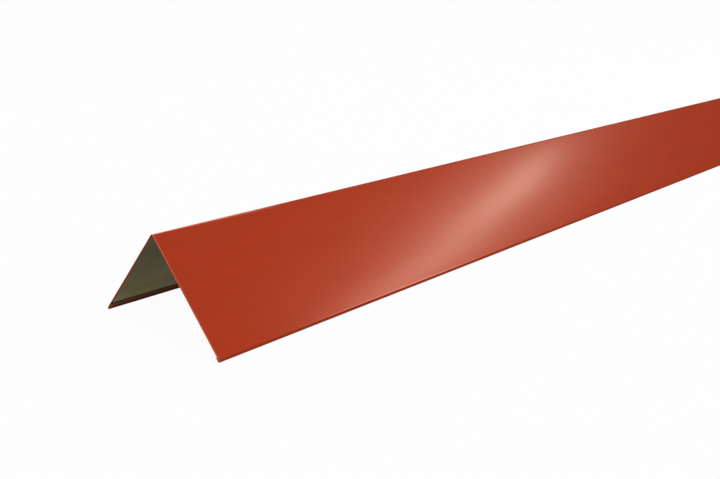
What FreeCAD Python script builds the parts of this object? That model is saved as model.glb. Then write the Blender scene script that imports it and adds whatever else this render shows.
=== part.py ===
import FreeCAD, Part
import math
import os

# A flat roof ridge cap. One painted steel sheet is folded along its middle into an upside-down V,
# and each long edge is turned under into an open hem, so that no sharp edge shows.
# A hem is bent in two steps: a shallow crease leads the sheet in, and a tight fold turns it back.
# The cap stands on its two hems. X runs along the ridge, the narrower hem is on the -Y side,
# and the origin is on the floor under the middle of the ridge. All sizes are in millimetres.

length = 2000.0
wing_width = 150.0          # along the paint face, from the sharp ridge line to the hem's outer edge
ridge_angle = 87.2          # degrees between the wings, measured underneath
sheet_thickness = 0.75
ridge_inside_radius = 2.0   # the brake's nose leaves this radius on the back of the ridge fold
hem_gap = 1.2               # clear space inside the open hem, between the wing and its turned edge
near_hem_width = 6.0        # from the hem's outer edge to the sheet's free edge, on the -Y wing
far_hem_width = 11.0        # the same on the +Y wing
hem_turn = 180.0            # degrees that the sheet turns in a hem, crease and fold together
crease_turn = 20.0          # degrees of it that the crease takes
crease_inside_radius = 0.75
fold_inside_radius = 0.25

# The ridge fold
half_angle = math.radians(ridge_angle / 2)
ridge_turn = 180.0 - ridge_angle
ridge_outer_radius = ridge_inside_radius + sheet_thickness
ridge_setback = ridge_outer_radius * math.tan(math.radians(ridge_turn / 2))

# The hems: hem_depth is from the wing's paint face to the turned edge's paint face,
# and hem_reach is from the start of the crease to the hem's outer edge
hem_depth = 2 * sheet_thickness + hem_gap
fold_turn = hem_turn - crease_turn
crease_outer_radius = crease_inside_radius + sheet_thickness
fold_outer_radius = fold_inside_radius + sheet_thickness
crease_sine = math.sin(math.radians(crease_turn))
crease_cosine = math.cos(math.radians(crease_turn))
depth_in_bends = crease_outer_radius * (1 - crease_cosine) + fold_outer_radius * (1 + crease_cosine)
crease_flat = (hem_depth - depth_in_bends) / crease_sine
reach_in_bends = crease_outer_radius * crease_sine + fold_outer_radius * (1 - crease_sine)
hem_reach = crease_flat * crease_cosine + reach_in_bends

# The wings, and the height of the sharp ridge line when the cap stands on the folds of its hems
wing_flat = wing_width - ridge_setback - hem_reach
fold_centre_along = wing_width - fold_outer_radius
fold_centre_in = hem_depth - fold_outer_radius
apex_height = fold_centre_along * math.cos(half_angle) + fold_centre_in * math.sin(half_angle) \
    + fold_outer_radius


def section_point(y, z):
    """A point of the cross-section, in the plane of the cap's -X end."""
    return FreeCAD.Vector(-length / 2, y, z)


def turned(vector, degrees):
    """The vector turned clockwise in the section, seen with +Y to the right and +Z up."""
    angle = -math.radians(degrees)
    y = vector.y * math.cos(angle) - vector.z * math.sin(angle)
    z = vector.y * math.sin(angle) + vector.z * math.cos(angle)
    return FreeCAD.Vector(0, y, z)


def free_edge_start():
    """Where the paint face begins: the free edge of the -Y hem, and the way the sheet runs from it."""
    down_wing = FreeCAD.Vector(0, -math.sin(half_angle), -math.cos(half_angle))
    inward = FreeCAD.Vector(0, math.cos(half_angle), -math.sin(half_angle))
    apex = section_point(0, apex_height)
    start = apex + down_wing * (wing_width - near_hem_width) + inward * hem_depth
    return start, down_wing


def fold_sheet(start, heading, runs):
    """Traces both faces of a sheet that is folded towards its back at every bend.

    runs is a list of (flat length, turn in degrees, inside radius). The paint face lies on the left
    of the heading and the back lies one thickness to its right, so a bend's centre is on the right.
    """
    paint = start
    paint_edges = []
    back_edges = []
    for flat, turn, inside_radius in runs:
        right = turned(heading, 90)
        next_paint = paint + heading * flat
        paint_edges.append(Part.LineSegment(paint, next_paint).toShape())
        back = paint + right * sheet_thickness
        back_edges.append(Part.LineSegment(back, back + heading * flat).toShape())
        paint = next_paint
        if turn:
            outer_radius = inside_radius + sheet_thickness
            centre = paint + right * outer_radius
            to_points = [turned(right * -1, share * turn) for share in (0, 0.5, 1)]
            for edges, radius in ((paint_edges, outer_radius), (back_edges, inside_radius)):
                on_arc = [centre + direction * radius for direction in to_points]
                edges.append(Part.Arc(*on_arc).toShape())
            paint = centre + to_points[-1] * outer_radius
            heading = turned(heading, turn)
    return paint_edges, back_edges


def free_edge(paint_edge_end, back_edge_end):
    """The cut edge that joins the two faces where the sheet ends."""
    return Part.LineSegment(paint_edge_end, back_edge_end).toShape()


def ridge_cap():
    """The folded section, as one closed outline, drawn out along the ridge."""
    runs = [
        (near_hem_width - fold_outer_radius, fold_turn, fold_inside_radius),
        (crease_flat, crease_turn, crease_inside_radius),
        (wing_flat, ridge_turn, ridge_inside_radius),
        (wing_flat, crease_turn, crease_inside_radius),
        (crease_flat, fold_turn, fold_inside_radius),
        (far_hem_width - fold_outer_radius, 0, 0),
    ]
    start, heading = free_edge_start()
    paint_edges, back_edges = fold_sheet(start, heading, runs)
    near_cut = free_edge(paint_edges[0].Vertexes[0].Point, back_edges[0].Vertexes[0].Point)
    far_cut = free_edge(paint_edges[-1].Vertexes[-1].Point, back_edges[-1].Vertexes[-1].Point)
    outline = Part.Wire(Part.__sortEdges__(paint_edges + [far_cut] + back_edges + [near_cut]))
    return Part.Face(outline).extrude(FreeCAD.Vector(length, 0, 0))


def main():
    cap = ridge_cap()
    os.makedirs("parts", exist_ok=True)
    cap.exportStep("parts/ridge_cap.step")
    box = cap.BoundBox
    print("ridge_cap", cap.ShapeType, "valid", cap.isValid(), "volume", round(cap.Volume, 1))
    print("size", round(box.XLength, 2), round(box.YLength, 2), round(box.ZLength, 2),
          "lowest", round(box.ZMin, 4), "middle", round((box.YMin + box.YMax) / 2, 4))
    print("sharp ridge height", round(apex_height, 3), "crease flat", round(crease_flat, 3),
          "hem reach", round(hem_reach, 3))


main()
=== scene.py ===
import math
from collections import namedtuple

import bmesh
import bpy
import numpy as np
from mathutils import Matrix, Vector


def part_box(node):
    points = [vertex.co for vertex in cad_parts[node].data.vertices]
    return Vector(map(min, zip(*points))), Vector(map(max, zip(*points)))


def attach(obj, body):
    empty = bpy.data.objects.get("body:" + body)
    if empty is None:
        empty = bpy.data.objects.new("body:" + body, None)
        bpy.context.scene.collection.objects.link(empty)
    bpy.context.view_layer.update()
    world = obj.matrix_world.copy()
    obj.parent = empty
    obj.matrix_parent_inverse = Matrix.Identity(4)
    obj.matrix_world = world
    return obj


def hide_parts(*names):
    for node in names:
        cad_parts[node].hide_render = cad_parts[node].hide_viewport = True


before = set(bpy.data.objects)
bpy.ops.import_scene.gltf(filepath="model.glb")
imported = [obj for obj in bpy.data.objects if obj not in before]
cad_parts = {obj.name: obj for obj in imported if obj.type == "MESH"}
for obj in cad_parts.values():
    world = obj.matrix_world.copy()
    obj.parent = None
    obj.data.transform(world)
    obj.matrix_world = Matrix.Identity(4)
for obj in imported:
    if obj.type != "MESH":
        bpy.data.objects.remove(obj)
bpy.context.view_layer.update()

bl_info = {
    "name": "Roof Ridge Cap",
    "version": (1, 0, 0),
    "blender": (4, 5, 0),
    "location": "3D View > Sidebar > Ridge Cap",
    "description": "A ridge cap folded from one painted steel sheet, with an open hem along each long edge",
    "category": "Add Mesh",
}

# All lengths are in metres. X runs along the ridge, the narrower hem is on the -Y side,
# and the cap stands on its two hems at Z = 0.
CAP_LOW, CAP_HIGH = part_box("ridge_cap")
MM = 0.001

# How finely the sheet is divided. A short strip beside every bend keeps the flats flat in the shading.
LEAD = 0.3 * MM
STATION_SPACING = 12.5 * MM   # along the ridge
CORNER_STEPS = 3              # on each quarter turn of a rounded cut edge
WING_STEPS = 22
RIDGE_STEPS = 18
ROLL_STEPS = 5
CREASE_STEPS = 6
CREASE_FLAT_STEPS = 2
FOLD_STEPS = 18
NEAR_EDGE_STEPS = 2
FAR_EDGE_STEPS = 3
MERGE_DISTANCE = 0.001 * MM

# The slow waves of the wings
WAVE_LENGTHS = (0.47, 0.29)
WAVE_LEAN = 2.5               # radians that a wave shifts from the ridge to a hem


class RidgeCapSizes(bpy.types.PropertyGroup):
    """The folded sheet, as its maker would order it."""

    length: bpy.props.FloatProperty(
        name="Length", description="Along the ridge",
        default=CAP_HIGH.x - CAP_LOW.x, min=0.1, unit="LENGTH")
    wing_width: bpy.props.FloatProperty(
        name="Wing width", description="From the sharp ridge line to the hem's outer edge",
        default=150 * MM, min=0.03, unit="LENGTH")
    ridge_angle: bpy.props.FloatProperty(
        name="Ridge angle", description="Between the wings, measured underneath",
        default=math.radians(87.2), min=0.5, max=3.0, subtype="ANGLE")
    thickness: bpy.props.FloatProperty(
        name="Sheet thickness", description="Steel and both coats together",
        default=0.75 * MM, min=0.3 * MM, unit="LENGTH")
    ridge_radius: bpy.props.FloatProperty(
        name="Ridge radius", description="On the back of the ridge fold",
        default=2.0 * MM, min=0.0, unit="LENGTH")
    hem_gap: bpy.props.FloatProperty(
        name="Hem gap", description="Clear space between a wing and its turned edge",
        default=1.2 * MM, min=0.0, unit="LENGTH")
    near_hem: bpy.props.FloatProperty(
        name="Near hem", description="Width of the turned edge on the -Y wing",
        default=6.0 * MM, min=2 * MM, unit="LENGTH")
    far_hem: bpy.props.FloatProperty(
        name="Far hem", description="Width of the turned edge on the +Y wing",
        default=11.0 * MM, min=2 * MM, unit="LENGTH")
    crease_turn: bpy.props.FloatProperty(
        name="Crease turn", description="How far the crease above each hem turns the sheet in",
        default=math.radians(20), min=0.05, max=1.2, subtype="ANGLE")
    crease_radius: bpy.props.FloatProperty(
        name="Crease radius", description="On the back of the crease",
        default=0.75 * MM, min=0.0, unit="LENGTH")
    roll_width: bpy.props.FloatProperty(
        name="Roll width", description="How wide the gentle roll is that leads each wing into its crease",
        default=0.6 * MM, min=0.1 * MM, unit="LENGTH")
    roll_turn: bpy.props.FloatProperty(
        name="Roll turn", description="How far that roll turns the sheet",
        default=math.radians(0.7), min=0.001, max=0.05, subtype="ANGLE")
    fold_radius: bpy.props.FloatProperty(
        name="Fold radius", description="On the back of the hem's tight fold",
        default=0.25 * MM, min=0.0, unit="LENGTH")
    cut_radius: bpy.props.FloatProperty(
        name="Cut edge radius", description="The shears leave the cut edges this round",
        default=0.09 * MM, min=0.01 * MM, unit="LENGTH")
    ripple: bpy.props.FloatProperty(
        name="Ripple", description="How deep the slow waves in the wings are",
        default=0.12 * MM, min=0.0, unit="LENGTH")


class RidgeCapFinish(bpy.types.PropertyGroup):
    """The coats on the steel."""

    topcoat: bpy.props.FloatVectorProperty(
        name="Topcoat", description="Satin red paint on the outside",
        default=(0.388, 0.0349, 0.0092), min=0, max=1, size=3, subtype="COLOR")
    back_coat: bpy.props.FloatVectorProperty(
        name="Back coat", description="Thin olive-grey coat on the inside",
        default=(0.177, 0.151, 0.065), min=0, max=1, size=3, subtype="COLOR")
    # Painted light: the back coat's lighter colour beside the hems, which lifts the shade that lies there
    painted_light_back: bpy.props.FloatVectorProperty(
        name="Pale back coat", description="The back coat where the folding tools rubbed it, beside the hems",
        default=(0.28, 0.26, 0.155), min=0, max=1, size=3, subtype="COLOR")
    # The lighter colour of the painted highlights on the ridge fold, along the ridge near the -X end and on
    # the cut ends
    highlit: bpy.props.FloatVectorProperty(
        name="Rubbed topcoat", description="The topcoat where it is rubbed on the ridge and the cut ends",
        default=(0.62, 0.17, 0.10), min=0, max=1, size=3, subtype="COLOR")
    # The lighter colour of the painted highlight on the roll above each crease
    roll_highlight: bpy.props.FloatVectorProperty(
        name="Burnished topcoat", description="The topcoat on the roll above each crease, where the tool ran",
        default=(0.72, 0.26, 0.175), min=0, max=1, size=3, subtype="COLOR")
    steel: bpy.props.FloatVectorProperty(
        name="Steel", description="Zinc and steel where the sheet is cut",
        default=(0.46, 0.40, 0.35), min=0, max=1, size=3, subtype="COLOR")


class RidgeCapStage(bpy.types.PropertyGroup):
    """The studio that the cap is shown in."""

    floor_colour: bpy.props.FloatVectorProperty(
        name="Floor", description="Pale studio floor",
        default=(0.60, 0.60, 0.60), min=0, max=1, size=3, subtype="COLOR")
    overhead: bpy.props.FloatProperty(
        name="Overhead light", description="Soft light from straight above",
        default=1.95, min=0.0)
    around: bpy.props.FloatProperty(
        name="Light around", description="Soft light from the horizon",
        default=0.44, min=0.0)
    strip_power: bpy.props.FloatProperty(
        name="Strip lamp", description="The lamp that draws the sheen across the near wing",
        default=15.6, min=0.0, unit="POWER")
    under_power: bpy.props.FloatProperty(
        name="Lamp under the cap", description="The weak lamp on the floor that lights the cap's inside",
        default=0.37, min=0.0, unit="POWER")
    strip_colour: bpy.props.FloatVectorProperty(
        name="Strip lamp colour", description="Slightly warm",
        default=(1.0, 0.92, 0.727), min=0, max=1, size=3, subtype="COLOR")


# Kinds of flat and bend
PLAIN, RIDGE, ROLL, PRESSED = range(4)


def flat(length, steps, kind=PLAIN):
    """A flat of the section as rows of (length, turn, steps, kind), with a short strip at each end."""
    return [(LEAD, 0.0, 1, kind), (length - 2 * LEAD, 0.0, steps, kind), (LEAD, 0.0, 1, kind)]


def bend(outer_radius, turn, steps, kind=PLAIN):
    """A bend of the section as one row. Its length along the paint face is radius times turn."""
    return [(outer_radius * turn, turn, steps, kind)]


def section_rows(sizes):
    """The flats and bends along the paint face, from the near free edge to the far one.

    A hem's depth is twice the thickness plus its gap. The wing rolls gently into the crease, the
    crease's flat is as long as it takes for the bends and the flat to reach that depth, and the wing
    is what is left of its width. A bend from heading a to heading b goes in by its radius times
    (cos a - cos b) and along by its radius times (sin b - sin a).
    """
    depth = 2 * sizes.thickness + sizes.hem_gap
    roll = sizes.roll_width / sizes.roll_turn
    crease = sizes.crease_radius + sizes.thickness
    fold = sizes.fold_radius + sizes.thickness
    ridge = sizes.ridge_radius + sizes.thickness
    first, turn = sizes.roll_turn, sizes.crease_turn
    sine, cosine = math.sin(turn), math.cos(turn)
    bends_in = roll * (1 - math.cos(first)) + crease * (math.cos(first) - cosine) + fold * (1 + cosine)
    bends_along = roll * math.sin(first) + crease * (sine - math.sin(first)) + fold * (1 - sine)
    crease_flat = (depth - bends_in) / sine
    reach = crease_flat * cosine + bends_along
    ridge_turn = math.pi - sizes.ridge_angle
    wing = sizes.wing_width - ridge * math.tan(ridge_turn / 2) - reach
    if crease_flat <= 2 * LEAD or wing <= 0:
        raise ValueError("the hem is too tight or too wide for its bends")
    roll_bend = bend(roll, first, ROLL_STEPS, ROLL)
    crease_bend = bend(crease, turn - first, CREASE_STEPS)
    crease_strip = flat(crease_flat, CREASE_FLAT_STEPS)
    fold_bend = bend(fold, math.pi - turn, FOLD_STEPS)
    near_edge = flat(sizes.near_hem - fold - sizes.cut_radius, NEAR_EDGE_STEPS, PRESSED)
    far_edge = flat(sizes.far_hem - fold - sizes.cut_radius, FAR_EDGE_STEPS, PRESSED)
    wing_strip = flat(wing, WING_STEPS)
    near_side = near_edge + fold_bend + crease_strip + crease_bend + roll_bend + wing_strip
    far_side = wing_strip + roll_bend + crease_bend + crease_strip + fold_bend + far_edge
    return near_side + bend(ridge, ridge_turn, RIDGE_STEPS, RIDGE) + far_side


def folded_line(rows, start, heading):
    """Follows the paint face and returns its points, headings, running length and kinds as arrays.

    The heading turns evenly over each row. One step moves the point by the step's length times
    sin(half turn) / (half turn), in the mean heading of the step, which is exact for flats and arcs.
    """
    length, turn, steps, kind = np.array(rows).T
    steps = steps.astype(int)
    step_length = np.repeat(length / steps, steps)
    step_turn = np.repeat(turn / steps, steps)
    headings = heading - np.concatenate([[0.0], np.cumsum(step_turn)])
    mean = (headings[:-1] + headings[1:]) / 2
    chord = step_length * np.sinc(step_turn / 2 / np.pi)
    moves = chord[:, None] * np.stack([np.cos(mean), np.sin(mean)], 1)
    points = start + np.concatenate([np.zeros((1, 2)), np.cumsum(moves, 0)])
    running = np.concatenate([[0.0], np.cumsum(step_length)])
    step_kind = np.concatenate([[PLAIN], np.repeat(kind, steps), [PLAIN]])
    return points, headings, running, np.maximum(step_kind[:-1], step_kind[1:])


def apex_height(sizes):
    """How high the sharp ridge line is, when the cap stands on the round folds of its hems."""
    half = sizes.ridge_angle / 2
    fold = sizes.fold_radius + sizes.thickness
    depth = 2 * sizes.thickness + sizes.hem_gap
    along, inward = sizes.wing_width - fold, depth - fold
    return along * math.cos(half) + inward * math.sin(half) + fold


# core and grow hold (y, z) for each point, across is its running length from the near free edge,
# kind names the row it lies on, side counts the points on one face and corner those round one free edge
Outline = namedtuple("Outline", "core grow across kind side corner")


def sheet_outline(sizes):
    """The sheet's closed outline as a thin core line with a growing direction at each of its points.

    The core is the sheet less the cut edges' radius all round. A point of the skin is its core point
    plus that radius times its direction: straight out of the paint face, straight out of the back,
    and in even steps through half a turn round each free edge.
    """
    half = sizes.ridge_angle / 2
    down = np.array([-math.sin(half), -math.cos(half)])
    inward = np.array([math.cos(half), -math.sin(half)])
    depth = 2 * sizes.thickness + sizes.hem_gap
    apex = np.array([0.0, apex_height(sizes)])
    start = apex + down * (sizes.wing_width - sizes.near_hem + sizes.cut_radius) + inward * depth
    points, headings, running, kinds = folded_line(
        section_rows(sizes), start, math.atan2(down[1], down[0]))
    along = np.stack([np.cos(headings), np.sin(headings)], 1)
    outward = np.stack([-np.sin(headings), np.cos(headings)], 1)
    paint = points - outward * sizes.cut_radius
    back = points - outward * (sizes.thickness - sizes.cut_radius)

    quarter = np.arange(1, CORNER_STEPS + 1) / CORNER_STEPS * np.pi / 2
    angles = np.concatenate([quarter, np.pi - quarter[::-1]])[:, None]
    far_round = np.cos(angles) * outward[-1] + np.sin(angles) * along[-1]
    near_round = -np.cos(angles) * outward[0] - np.sin(angles) * along[0]
    on_first = np.arange(len(angles))[:, None] < CORNER_STEPS
    core = np.concatenate([
        paint, np.where(on_first, paint[-1], back[-1]), back[::-1], np.where(on_first, back[0], paint[0])])
    grow = np.concatenate([outward, far_round, -outward[::-1], near_round])
    corner = np.ones(len(angles))
    across = np.concatenate([running, corner * running[-1], running[::-1], corner * running[0]])
    kind = np.concatenate([kinds, PLAIN * corner, kinds[::-1], PLAIN * corner])
    return Outline(core, grow, across, kind, len(paint), len(angles))


def ripple(sizes, x, section):
    """How far slow waves move the points of the section, as (y, z).

    The depth is the square of a sine across each wing, 0 at the ridge and at the hem's edge. Along
    the ridge it is two slow waves of different length. Both faces and the hem move in alike.
    """
    half = sizes.ridge_angle / 2
    share = section[..., 0] / (sizes.wing_width * math.sin(half))
    long_wave = np.sin(2 * np.pi * x / WAVE_LENGTHS[0] + WAVE_LEAN * share)
    short_wave = np.sin(2 * np.pi * x / WAVE_LENGTHS[1] - WAVE_LEAN * share)
    across = np.sin(np.pi * np.clip(share, -1, 1)) ** 2
    depth = sizes.ripple * across * (2 + long_wave + short_wave) / 4
    inward = np.stack([-np.sign(share) * math.cos(half), np.full_like(share, -math.sin(half))], -1)
    return depth[..., None] * inward


def stations(sizes):
    """Places along the ridge, and how much of the cut radius the skin has grown at each.

    Round each end the place goes by a sine and the growth by a cosine of the same quarter turn.
    """
    quarter = np.linspace(0, np.pi / 2, CORNER_STEPS + 1)[1:]
    straight = sizes.length / 2 - sizes.cut_radius
    steps = int(round(sizes.length / STATION_SPACING))
    middle = np.linspace(-straight + LEAD, straight - LEAD, steps)
    middle = np.concatenate([[-straight], middle, [straight]])
    end = straight + sizes.cut_radius * np.sin(quarter)
    x = np.concatenate([-end[::-1], middle, end])
    growth = np.concatenate([np.cos(quarter)[::-1], np.ones(len(middle)), np.cos(quarter)])
    return x, growth * sizes.cut_radius


# The places of the sheet's materials, in the order in which they are added to it
TOPCOAT, BACK_COAT, CUT_EDGE, PRESSED_COAT = range(4)


def sheet_mesh(sizes):
    """The skin over (place on the section's outline) by (place along the ridge), with closed ends.

    A point of the skin is its core point plus its direction times the growth at its station, moved by
    the ripple there.
    """
    core, grow, across, kind, side, corner = sheet_outline(sizes)
    x, growth = stations(sizes)
    around, rows = len(core), len(x)

    section = core + growth[:, None, None] * grow
    section += ripple(sizes, x[:, None], section)
    skin = np.concatenate([np.broadcast_to(x[:, None, None], (rows, around, 1)), section], 2)

    k = np.arange(around)
    j = np.arange(rows - 1)[:, None]
    here, beside = j * around + k, j * around + (k + 1) % around
    quads = np.stack([here, beside, beside + around, here + around], -1).reshape(-1, 4)
    pressed = (kind[:side - 1] == PRESSED) & (kind[1:side] == PRESSED)
    coat = np.full(around, CUT_EDGE)
    coat[:side + 1] = TOPCOAT
    coat[:side - 1][pressed] = PRESSED_COAT
    coat[side + corner:2 * side + corner - 1] = BACK_COAT
    coat[-2:] = TOPCOAT
    coats = np.tile(coat, rows - 1)

    paint = np.arange(side - 1)
    back = 2 * side + corner - 1 - paint
    cap = np.stack([paint, back, back - 1, paint + 1], 1)
    far_cap = cap[:, ::-1] + (rows - 1) * around
    faces = np.concatenate([quads, cap, far_cap])
    coats = np.concatenate([coats, np.full(2 * len(cap), CUT_EDGE)])

    mesh = bpy.data.meshes.new("ridge_cap_sheet")
    mesh.from_pydata(skin.reshape(-1, 3), [], faces)
    mesh.polygons.foreach_set("material_index", coats)
    mesh.polygons.foreach_set("use_smooth", np.ones(len(faces), bool))
    to_end = np.broadcast_to(sizes.length / 2 - np.abs(x)[:, None], (rows, around))
    to_free = np.broadcast_to(np.minimum(across, across.max() - across), (rows, around))
    point_values = {
        "from_end": to_end,
        "from_free_edge": to_free,
        "on_ridge": np.broadcast_to(kind == RIDGE, (rows, around)),
        "on_roll": np.broadcast_to(kind == ROLL, (rows, around)),
        "along": np.broadcast_to(x[:, None], (rows, around)),
        "across": np.broadcast_to(across, (rows, around)),
    }
    for name, values in point_values.items():
        values = np.ascontiguousarray(values, dtype=np.float32)
        mesh.attributes.new(name, "FLOAT", "POINT").data.foreach_set("value", values.ravel())
    return mesh


def close_ends(mesh):
    """Merges the points that meet on the cut ends, and turns every face outwards."""
    shell = bmesh.new()
    shell.from_mesh(mesh)
    bmesh.ops.remove_doubles(shell, verts=shell.verts, dist=MERGE_DISTANCE)
    bmesh.ops.recalc_face_normals(shell, faces=shell.faces)
    shell.to_mesh(mesh)
    shell.free()


def unfold_uv(mesh):
    """The sheet laid flat, in metres: U along the ridge and V across, from the near free edge."""
    flat_sheet = mesh.uv_layers.new(name="flat_sheet")
    corners = np.zeros(len(mesh.loops), int)
    mesh.loops.foreach_get("vertex_index", corners)
    both = np.zeros((len(mesh.vertices), 2))
    for column, name in enumerate(("along", "across")):
        values = np.zeros(len(mesh.vertices))
        mesh.attributes[name].data.foreach_get("value", values)
        both[:, column] = values
    flat_sheet.data.foreach_set("uv", both[corners].ravel())
    for name in ("along", "across"):
        mesh.attributes.remove(mesh.attributes[name])


def cleared_tree(holder):
    """The node tree of a material or a world, emptied."""
    holder.use_nodes = True
    holder.node_tree.nodes.clear()
    return holder.node_tree


def new_material(name):
    """A material with only its output and one Principled shader, and the tree to add to."""
    material = bpy.data.materials.new(name)
    tree = cleared_tree(material)
    output = tree.nodes.new("ShaderNodeOutputMaterial")
    shader = tree.nodes.new("ShaderNodeBsdfPrincipled")
    tree.links.new(shader.outputs["BSDF"], output.inputs["Surface"])
    return material, tree, shader


def feed(tree, socket, value):
    """Links the socket to another node's output, or sets it to a number or a colour."""
    if isinstance(value, bpy.types.NodeSocket):
        tree.links.new(value, socket)
    else:
        socket.default_value = value


def added(tree, kind, settings=None, **values):
    """Adds a node, sets its own settings, and sets or links its sockets by name (spaces as underscores)."""
    node = tree.nodes.new(kind)
    for name, value in (settings or {}).items():
        setattr(node, name, value)
    for name, value in values.items():
        feed(tree, node.inputs[name.replace("_", " ")], value)
    return node


def place(tree, stretch=(1, 1, 1)):
    """Object coordinates in metres, stretched along the axes."""
    source = added(tree, "ShaderNodeTexCoord")
    return added(tree, "ShaderNodeMapping", Vector=source.outputs["Object"], Scale=stretch).outputs["Vector"]


# What most noise values lie between
NOISE_LOW, NOISE_HIGH = 0.3, 0.7


def noise(tree, vector, size, detail=2.0, roughness=0.5):
    """Noise with patches of about that size, in metres."""
    return added(tree, "ShaderNodeTexNoise", Vector=vector, Scale=1 / size, Detail=detail,
                 Roughness=roughness).outputs["Fac"]


def varied(tree, pattern, low, high):
    """A noise carried over so that most of it lies between low and high."""
    return ranged(tree, pattern, NOISE_LOW, NOISE_HIGH, low, high)


def ranged(tree, value, low, high, to_low, to_high):
    """Value carried from one range to another, and held at its ends."""
    return added(tree, "ShaderNodeMapRange", Value=value, From_Min=low, From_Max=high,
                 To_Min=to_low, To_Max=to_high).outputs["Result"]


def maths(tree, operation, first, second):
    """One sum on two values."""
    node = added(tree, "ShaderNodeMath", {"operation": operation})
    for socket, value in zip(node.inputs, (first, second)):
        feed(tree, socket, value)
    return node.outputs["Value"]


def product(tree, first, second):
    """Two values multiplied."""
    return maths(tree, "MULTIPLY", first, second)


def unsigned(tree, value):
    """A value without its sign."""
    return maths(tree, "ABSOLUTE", value, 0.0)


def mixed(tree, share, first, second):
    """The first colour going over to the second by a share from 0 to 1."""
    node = added(tree, "ShaderNodeMix", {"data_type": "RGBA"})
    for name, value in (("Factor_Float", share), ("A_Color", first), ("B_Color", second)):
        feed(tree, next(socket for socket in node.inputs if socket.identifier == name), value)
    return next(socket for socket in node.outputs if socket.identifier == "Result_Color")


def point_value(tree, name):
    """A value that the sheet's mesh holds at its points."""
    return added(tree, "ShaderNodeAttribute", {"attribute_name": name}).outputs["Fac"]


def shade(colour, factor):
    """The colour made lighter or darker, with full alpha for a socket."""
    return (*[channel * factor for channel in colour], 1.0)


def along_axes(tree):
    """Object coordinates as three values."""
    source = added(tree, "ShaderNodeTexCoord").outputs["Object"]
    return added(tree, "ShaderNodeSeparateXYZ", Vector=source).outputs


def finish_coat(tree, shader, colour, roughness, grain, strength, depth, gloss):
    """Gives the shader its colour, its roughness, a shallow bump from the grain, and its gloss."""
    bump = added(tree, "ShaderNodeBump", Strength=strength, Distance=depth, Height=grain)
    tree.links.new(colour, shader.inputs["Base Color"])
    tree.links.new(roughness, shader.inputs["Roughness"])
    tree.links.new(bump.outputs["Normal"], shader.inputs["Normal"])
    shader.inputs["Specular IOR Level"].default_value = gloss


# The patterns in the topcoat are drawn out along the coil, which is the sheet's length
COIL_STRETCH = (0.25, 1, 1)
PAINT_CLOUDS = 24 * MM
PAINT_GRAIN = 0.9 * MM
PAINT_PATCHES = 3 * MM

# The topcoat's gloss. The pigment tints its own, and a thin clear coat adds a sharper, plain one.
# The roughness stays above 0.274, where the denoiser changes over and would draw a step.
TOPCOAT_ROUGHNESS = (0.277, 0.285)
DULL_BAND_ROUGHER = 0.022
GLOSS_TINT = (1.0, 0.205, 0.10, 1.0)
CLEAR_COAT_WEIGHT = 0.235
CLEAR_COAT_ROUGHNESS = 0.163

# Marks on the topcoat: painted highlights on the ridge, the cut ends and the roll, painted shade at the hems'
# foot, and a duller band. A mark is full on the one side of its two distances and gone on the other.
STREAK_WIDENS = 0.12                        # the streak on the ridge widens from the -X end to here
STREAK_HALF_WIDTHS = (1.2 * MM, 2.2 * MM)   # at the end, and where it is widest
STREAK_EDGE = 0.7 * MM                      # it fades sideways over this much on both sides of its edge
STREAK_FADES = (0.13, 0.18)                 # from the -X end
ROLL_HIGHLIGHT_GROWS = (0.10, 0.32)                # from the -X end
ROLL_HIGHLIGHT_FADES = (0.33, 0.46)                # from the -X end
CUT_HIGHLIGHT = (0.5 * MM, 1.6 * MM)             # from a cut end
CUT_HIGHLIGHT_HEIGHT = 0.05                      # the painted highlight on the cut ends grows from here up to the ridge
FOOT_HEIGHTS = (1.0 * MM, 2.8 * MM)         # above the floor, for the painted shade at the hems' foot
DULL_BAND_LINE = 74.5 * MM                  # sideways from the ridge
DULL_BAND_SIDES = (3 * MM, 18 * MM)         # from that line


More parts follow.
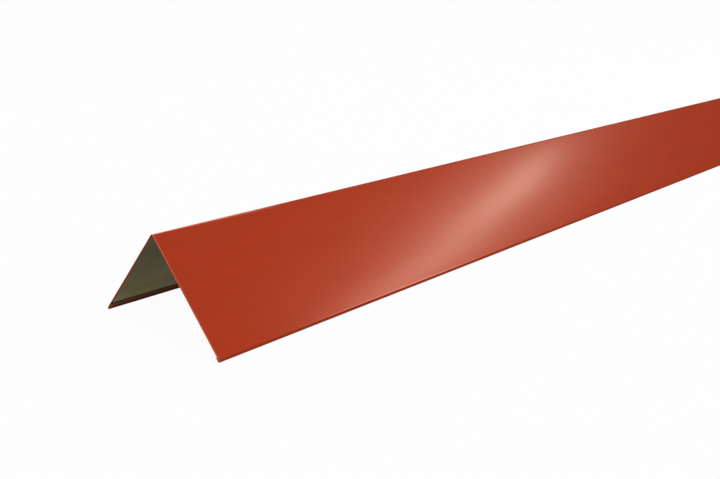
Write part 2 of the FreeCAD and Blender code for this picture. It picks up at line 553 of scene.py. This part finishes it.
def topcoat_material(finish):
    """Coil-coated satin paint: faint clouds in the colour and a fine even grain.

    It has painted highlights, lighter in colour, in patches on the ridge fold, in a streak along the ridge
    near the -X end, along the cut ends and on the roll above each crease near the -X end. It has painted
    shade, darker in colour, at the foot of the hems. One band along each wing is a little duller.
    """
    material, tree, shader = new_material("topcoat_red")
    along_coil = place(tree, COIL_STRETCH)
    clouds = noise(tree, along_coil, PAINT_CLOUDS, detail=4)
    grain = noise(tree, place(tree), PAINT_GRAIN, detail=3)
    clouded = mixed(tree, varied(tree, clouds, 0, 1),
                    shade(finish.topcoat, 0.97), shade(finish.topcoat, 1.03))
    speckled = mixed(tree, ranged(tree, grain, 0.35, 0.75, 0, 0.08), clouded, shade(finish.topcoat, 0.72))

    axes = along_axes(tree)
    from_start = maths(tree, "SUBTRACT", axes["X"], CAP_LOW.x)
    from_ridge = unsigned(tree, axes["Y"])
    # Painted shade: the colour is darker at the foot of the hems, where the fold faces down
    foot = ranged(tree, axes["Z"], *FOOT_HEIGHTS, 0.38, 0)
    shaded_at_foot = mixed(tree, foot, speckled, shade(finish.topcoat, 0.10))

    # Painted highlights: lighter patches on the ridge fold, a lighter streak along the ridge near the -X end,
    # and lighter cut ends
    patches = noise(tree, along_coil, PAINT_PATCHES, detail=5)
    ridge_highlights = product(tree, ranged(tree, patches, 0.5, 0.72, 0, 0.4), point_value(tree, "on_ridge"))
    streak_half_width = ranged(tree, from_start, 0, STREAK_WIDENS, *STREAK_HALF_WIDTHS)
    past_streak = maths(tree, "SUBTRACT", from_ridge, streak_half_width)
    streak = product(tree, ranged(tree, past_streak, -STREAK_EDGE, STREAK_EDGE, 1, 0),
                     ranged(tree, from_start, *STREAK_FADES, 1, 0))
    streak = product(tree, streak, ranged(tree, patches, 0.3, 0.6, 0.5, 0.8))
    cut_highlight = product(tree, ranged(tree, point_value(tree, "from_end"), *CUT_HIGHLIGHT, 1, 0),
                       ranged(tree, axes["Z"], CUT_HIGHLIGHT_HEIGHT, CAP_HIGH.z, 0.34, 0.66))
    lighter = maths(tree, "MAXIMUM", maths(tree, "MAXIMUM", ridge_highlights, streak), cut_highlight)
    highlit = mixed(tree, lighter, shaded_at_foot, (*finish.highlit, 1.0))

    # Painted highlight: the roll above each crease is lighter near the -X end
    roll_highlight_share = product(tree, ranged(tree, from_start, *ROLL_HIGHLIGHT_GROWS, 0, 1),
                      ranged(tree, from_start, *ROLL_HIGHLIGHT_FADES, 1, 0))
    roll_highlight_share = product(tree, roll_highlight_share, point_value(tree, "on_roll"))
    colour = mixed(tree, roll_highlight_share, highlit, (*finish.roll_highlight, 1.0))

    from_band = unsigned(tree, maths(tree, "SUBTRACT", from_ridge, DULL_BAND_LINE))
    duller = ranged(tree, from_band, *DULL_BAND_SIDES, DULL_BAND_ROUGHER, 0)
    roughness = maths(tree, "ADD", duller, varied(tree, clouds, *TOPCOAT_ROUGHNESS))
    finish_coat(tree, shader, colour, roughness, grain, strength=0.22, depth=0.03 * MM, gloss=0.40)
    shader.inputs["Specular Tint"].default_value = GLOSS_TINT
    shader.inputs["Coat Weight"].default_value = CLEAR_COAT_WEIGHT
    shader.inputs["Coat Roughness"].default_value = CLEAR_COAT_ROUGHNESS
    return material


# The darkened olive along the turned edges, painted shade, from a free edge, and how far its line wanders
PRESSED_DARK_OLIVE = (2.8 * MM, 4.8 * MM)
PRESSED_DARK_OLIVE_WANDERS = 0.9 * MM


def shaded_turned_edge_material(finish):
    """Turned edges' topcoat, pressed dull; painted shade darkens it, to dark olive at the free edges."""
    material, tree, shader = new_material("topcoat_turned_shaded")
    clouds = noise(tree, place(tree, COIL_STRETCH), PAINT_CLOUDS, detail=4)
    grain = noise(tree, place(tree), PAINT_GRAIN, detail=3)
    # Painted shade: the turned edges' topcoat is darker than the topcoat on the wings
    pressed = mixed(tree, varied(tree, clouds, 0, 1),
                    shade(finish.topcoat, 0.76), shade(finish.topcoat, 0.90))
    # Painted shade: a darkened olive along the free edges, with a wandering line
    wander = varied(tree, clouds, -PRESSED_DARK_OLIVE_WANDERS, PRESSED_DARK_OLIVE_WANDERS)
    to_dark_olive = maths(tree, "ADD", point_value(tree, "from_free_edge"), wander)
    lap = ranged(tree, to_dark_olive, *PRESSED_DARK_OLIVE, 0.80, 0)
    colour = mixed(tree, lap, pressed, shade(finish.back_coat, 0.52))
    roughness = varied(tree, clouds, 0.55, 0.65)
    finish_coat(tree, shader, colour, roughness, grain, strength=0.22, depth=0.03 * MM, gloss=0.10)
    return material


# The patterns in the back coat, the lines and spots drawn out along the coil
DRAWN_STRETCH = (0.05, 1, 1)
BACK_CLOUDS = 40 * MM
BACK_LINES = 1.2 * MM
BACK_SPOTS = 5 * MM
BACK_GRAIN = 0.7 * MM

# Where the back coat changes
LIGHTER_FROM = 10 * MM                      # sideways from the ridge
PALE_FROM = (82 * MM, 94 * MM)              # sideways from the ridge, where the painted light beside the hems comes in
END_LAP = (1.9 * MM, 2.4 * MM)              # from a cut end
LAP_ON_WING = (11 * MM, 14 * MM)            # from a free edge, where the lap leaves the hem


def back_coat_material(finish):
    """Thin dull backing lacquer: cloudy, with faint drawn lines along the coil and worn lighter spots.

    It is darker towards the ridge and lighter down to the hems, and paler still beside them: painted shade
    and painted light. The topcoat laps a little over it along the cut ends, and is painted brighter inside
    the hems than on the wings, as painted light.
    """
    material, tree, shader = new_material("back_coat_olive")
    vector = place(tree)
    along_coil = place(tree, DRAWN_STRETCH)
    clouds = noise(tree, vector, BACK_CLOUDS, detail=4)
    lines = noise(tree, along_coil, BACK_LINES, detail=3)
    spots = noise(tree, along_coil, BACK_SPOTS, detail=5)
    grain = noise(tree, vector, BACK_GRAIN, detail=2)
    from_ridge = unsigned(tree, along_axes(tree)["Y"])
    # Painted shade and painted light: darker towards the ridge, lighter down to the hems, paler still beside
    # them
    down = ranged(tree, from_ridge, LIGHTER_FROM, CAP_HIGH.y, 0, 1)
    laid = mixed(tree, product(tree, down, down),
                 shade(finish.back_coat, 0.52), shade(finish.back_coat, 1.34))
    laid = mixed(tree, ranged(tree, from_ridge, *PALE_FROM, 0, 1), laid, (*finish.painted_light_back, 1.0))
    clouded = mixed(tree, varied(tree, clouds, 0, 0.14), laid, shade(finish.back_coat, 0.5))
    drawn = mixed(tree, ranged(tree, lines, 0.42, 0.8, 0, 0.30), clouded, shade(finish.back_coat, 0.70))
    lacquer = mixed(tree, ranged(tree, spots, 0.60, 0.80, 0, 0.35), drawn, shade(finish.back_coat, 1.35))
    # Painted light: the lap colour is much brighter inside the hems, where the gap lies in shade, than on the
    # wings
    lap = ranged(tree, point_value(tree, "from_end"), *END_LAP, 1, 0)
    on_wing = ranged(tree, point_value(tree, "from_free_edge"), *LAP_ON_WING, 0, 1)
    lap_colour = mixed(tree, on_wing, shade(finish.topcoat, 1.9), shade(finish.topcoat, 0.60))
    colour = mixed(tree, lap, lacquer, lap_colour)
    roughness = varied(tree, clouds, 0.55, 0.65)
    finish_coat(tree, shader, colour, roughness, grain, strength=0.20, depth=0.02 * MM, gloss=0.10)
    return material


# The patterns on the cuts, and the distance from a cut end past which a cut is a hem's free edge
ZINC_PATCHES = 2.5 * MM
CUT_GRAIN = 0.25 * MM
END_CUT = (1.0 * MM, 2.0 * MM)


def cut_edge_material(finish):
    """Sheared edge: the red paint is dragged down over the cut, and zinc shows through in small patches.

    Along the free edges of the hems the back coat covers the cut. Both colours are painted lighter there
    than on the sheet's faces, as painted light.
    """
    material, tree, shader = new_material("cut_edge")
    vector = place(tree)
    patches = noise(tree, vector, ZINC_PATCHES, detail=4, roughness=0.6)
    grain = noise(tree, vector, CUT_GRAIN, detail=2)
    metal = mixed(tree, varied(tree, grain, 0, 1), shade(finish.steel, 0.8), shade(finish.steel, 1.1))
    dragged = ranged(tree, patches, 0.40, 0.62, 1.0, 0.92)
    # Painted light: the red on the cut is lighter than the topcoat on the faces
    painted = mixed(tree, dragged, metal, shade(finish.topcoat, 1.25))
    past_end = ranged(tree, point_value(tree, "from_end"), *END_CUT, 0, 1)
    # Painted highlight: the olive on the hems' free edges is lighter than the back coat
    colour = mixed(tree, past_end, painted, shade(finish.back_coat, 1.2))
    roughness = varied(tree, grain, 0.45, 0.60)
    finish_coat(tree, shader, colour, roughness, grain, strength=0.4, depth=0.03 * MM, gloss=0.06)
    return material


class RIDGECAP_OT_fold_sheet(bpy.types.Operator):
    """Fold the painted sheet into the ridge cap, with its hems and its cut edges"""

    bl_idname = "ridge_cap.fold_sheet"
    bl_label = "Fold the Sheet"

    def execute(self, context):
        sizes, finish = context.scene.ridge_cap_sizes, context.scene.ridge_cap_finish
        mesh = sheet_mesh(sizes)
        close_ends(mesh)
        unfold_uv(mesh)
        for coat in (topcoat_material, back_coat_material, cut_edge_material, shaded_turned_edge_material):
            mesh.materials.append(coat(finish))
        if mesh.validate():
            raise RuntimeError("the folded sheet came out with faces that don't hold together")
        sheet = bpy.data.objects.new("ridge_cap_sheet", mesh)
        context.scene.collection.objects.link(sheet)
        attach(sheet, "root")
        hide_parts("ridge_cap")
        return {"FINISHED"}


# The studio. The camera's place and turn, and its lens, were solved from the outlines in the photograph.
CAMERA_PLACE = (-1.4278, -0.6920, 0.3425)
CAMERA_DOWN = math.radians(16.908)      # below the horizon
CAMERA_ROUND = math.radians(46.726)     # from +Y towards +X
CAMERA_LENS = 40.577                    # millimetres
CAMERA_SENSOR = 36.0                    # millimetres wide
FLOOR_REACH = 60.0
FLOOR_DUST = 0.6                        # size of the faint clouds in the floor's colour
FLOOR_WHITE_SHARE = 0.96                # of its look is plain white, and the rest takes the shadow
SHADE_REACH = 0.03                      # how far the hems' own shade goes on the floor beside them
DARK_SIDE = 0.02                        # what mirrors see of the studio's dark side, where white is 1
DARK_SIDE_ENDS = (0.35, 0.80)           # a direction's share of +Y where it turns from dark to white
STRIP_START = (1.207, -1.640, 2.110)    # the lamp's two ends, where the wing mirrors the sheen's crest
STRIP_END = (3.306, -0.933, 2.110)
STRIP_WIDTH = 0.12
UNDER_HALF_WIDTH = 0.093                # the lamp under the cap, from the ridge's line to near each hem
UNDER_HEIGHT = 0.2 * MM


def mirrors(tree, rays):
    """1 for a ray that a mirroring or clear surface sends out, and 0 for any other."""
    return maths(tree, "MAXIMUM", rays["Is Glossy Ray"], rays["Is Transmission Ray"])


def floor_material(stage):
    """Pale floor. Seen or mirrored it is mostly plain white, and the rest of it takes the cap's shadow.

    In a mirrored view the white gives way to the matt floor close to the hems, so that they mirror
    the shade that they stand in.
    """
    material = bpy.data.materials.new("studio_floor")
    tree = cleared_tree(material)
    output = tree.nodes.new("ShaderNodeOutputMaterial")
    rays = tree.nodes.new("ShaderNodeLightPath").outputs
    axes = along_axes(tree)
    past_end = ranged(tree, unsigned(tree, axes["X"]), CAP_HIGH.x, CAP_HIGH.x + SHADE_REACH, 0, 1)
    beside_hem = maths(tree, "SUBTRACT", unsigned(tree, axes["Y"]), CAP_HIGH.y)
    past_hem = ranged(tree, unsigned(tree, beside_hem), SHADE_REACH / 3, SHADE_REACH, 0, 1)
    mirrored = product(tree, maths(tree, "MAXIMUM", past_end, past_hem), mirrors(tree, rays))
    seen = maths(tree, "MAXIMUM", rays["Is Camera Ray"], mirrored)
    dust = noise(tree, place(tree), FLOOR_DUST, detail=3)
    pale = mixed(tree, varied(tree, dust, 0, 1),
                 shade(stage.floor_colour, 0.99), shade(stage.floor_colour, 1.01))
    matt = added(tree, "ShaderNodeBsdfDiffuse", Color=pale)
    white = added(tree, "ShaderNodeEmission", Color=(1, 1, 1, 1), Strength=1.0)
    both = added(tree, "ShaderNodeMixShader", Fac=product(tree, seen, FLOOR_WHITE_SHARE))
    tree.links.new(matt.outputs["BSDF"], both.inputs[1])
    tree.links.new(white.outputs["Emission"], both.inputs[2])
    tree.links.new(both.outputs["Shader"], output.inputs["Surface"])
    return material


def studio_floor(stage):
    """One large flat sheet just under the hems."""
    corners = [(-FLOOR_REACH, -FLOOR_REACH, 0), (FLOOR_REACH, -FLOOR_REACH, 0),
               (FLOOR_REACH, FLOOR_REACH, 0), (-FLOOR_REACH, FLOOR_REACH, 0)]
    mesh = bpy.data.meshes.new("studio_floor")
    mesh.from_pydata(corners, [], [(0, 1, 2, 3)])
    mesh.materials.append(floor_material(stage))
    floor = bpy.data.objects.new("studio_floor", mesh)
    bpy.context.scene.collection.objects.link(floor)


def studio_world(stage):
    """Soft light that grows from the horizon to straight above, in front of a white background.

    The camera sees plain white all round. Glossy and transmitted rays see that white behind the cap,
    on its +Y side, and on the -Y side the dark open side of the studio.
    """
    world = bpy.data.worlds.new("studio_light")
    tree = cleared_tree(world)
    world.cycles.sampling_method = "NONE"
    bpy.context.scene.world = world
    output = tree.nodes.new("ShaderNodeOutputWorld")
    rays = tree.nodes.new("ShaderNodeLightPath").outputs
    direction = added(tree, "ShaderNodeTexCoord").outputs["Generated"]
    parts = added(tree, "ShaderNodeSeparateXYZ", Vector=direction).outputs
    up = maths(tree, "MAXIMUM", parts["Z"], 0.0)
    soft = ranged(tree, product(tree, up, up), 0, 1, stage.around, stage.overhead)
    mirrored = ranged(tree, parts["Y"], *DARK_SIDE_ENDS, DARK_SIDE, 1.0)
    mirroring = mirrors(tree, rays)
    light = maths(tree, "ADD", product(tree, soft, maths(tree, "SUBTRACT", 1.0, mirroring)),
                  product(tree, mirrored, mirroring))
    camera = rays["Is Camera Ray"]
    strength = maths(tree, "ADD", product(tree, light, maths(tree, "SUBTRACT", 1.0, camera)), camera)
    background = added(tree, "ShaderNodeBackground", Color=(1, 1, 1, 1), Strength=strength)
    tree.links.new(background.outputs["Background"], output.inputs["Surface"])


def strip_lamp(stage):
    """A long narrow lamp between its two ends, facing the cap's near wing."""
    start, end = Vector(STRIP_START), Vector(STRIP_END)
    middle = (start + end) / 2
    lengthwise = (end - start).normalized()
    backward = (middle - middle.project(lengthwise)).normalized()
    light = bpy.data.lights.new("strip_lamp", "AREA")
    light.shape = "RECTANGLE"
    light.size = (end - start).length
    light.size_y = STRIP_WIDTH
    light.energy = stage.strip_power
    light.color = stage.strip_colour
    lamp = bpy.data.objects.new("strip_lamp", light)
    axes = Matrix((lengthwise, backward.cross(lengthwise), backward)).transposed()
    lamp.matrix_world = Matrix.Translation(middle) @ axes.to_4x4()
    bpy.context.scene.collection.objects.link(lamp)


def under_lamp(stage):
    """A weak panel on the floor that lights the cap's inside evenly. Only the light it gives is seen."""
    light = bpy.data.lights.new("under_lamp", "AREA")
    light.shape = "RECTANGLE"
    light.size = CAP_HIGH.x - CAP_LOW.x
    light.size_y = 2 * UNDER_HALF_WIDTH
    light.energy = stage.under_power
    lamp = bpy.data.objects.new("under_lamp", light)
    lamp.location = (0, 0, UNDER_HEIGHT)
    lamp.rotation_euler = (math.pi, 0, 0)
    lamp.visible_camera = False
    lamp.visible_glossy = False
    bpy.context.scene.collection.objects.link(lamp)


def studio_camera():
    """A level camera at the photograph's angle."""
    data = bpy.data.cameras.new("studio_camera")
    data.lens = CAMERA_LENS
    data.sensor_width = CAMERA_SENSOR
    data.clip_start, data.clip_end = 0.01, 500.0
    camera = bpy.data.objects.new("studio_camera", data)
    camera.location = CAMERA_PLACE
    camera.rotation_euler = (math.pi / 2 - CAMERA_DOWN, 0.0, -CAMERA_ROUND)
    bpy.context.scene.collection.objects.link(camera)
    bpy.context.scene.camera = camera


class RIDGECAP_OT_set_stage(bpy.types.Operator):
    """Set up the pale floor, the soft light, the strip lamp and the camera"""

    bl_idname = "ridge_cap.set_stage"
    bl_label = "Set the Stage"

    def execute(self, context):
        stage = context.scene.ridge_cap_stage
        studio_floor(stage)
        studio_world(stage)
        strip_lamp(stage)
        under_lamp(stage)
        studio_camera()
        context.scene.view_settings.view_transform = "Standard"
        return {"FINISHED"}


class RIDGECAP_PT_sidebar(bpy.types.Panel):
    """The cap's sizes and finishes, and the buttons that make it"""

    bl_label = "Roof Ridge Cap"
    bl_space_type = "VIEW_3D"
    bl_region_type = "UI"
    bl_category = "Ridge Cap"

    def draw(self, context):
        for group, button in (("ridge_cap_sizes", None), ("ridge_cap_finish", RIDGECAP_OT_fold_sheet),
                              ("ridge_cap_stage", RIDGECAP_OT_set_stage)):
            values = getattr(context.scene, group)
            for name in values.__annotations__:
                self.layout.prop(values, name)
            if button:
                self.layout.operator(button.bl_idname)


GROUPS = {
    "ridge_cap_sizes": RidgeCapSizes,
    "ridge_cap_finish": RidgeCapFinish,
    "ridge_cap_stage": RidgeCapStage,
}
CLASSES = (*GROUPS.values(), RIDGECAP_OT_fold_sheet, RIDGECAP_OT_set_stage, RIDGECAP_PT_sidebar)


def register():
    for cls in CLASSES:
        bpy.utils.register_class(cls)
    for name, group in GROUPS.items():
        setattr(bpy.types.Scene, name, bpy.props.PointerProperty(type=group))


def unregister():
    for name in GROUPS:
        delattr(bpy.types.Scene, name)
    for cls in reversed(CLASSES):
        bpy.utils.unregister_class(cls)


def main():
    register()
    bpy.ops.ridge_cap.fold_sheet()
    bpy.ops.ridge_cap.set_stage()


if __name__ == "__main__":
    main()
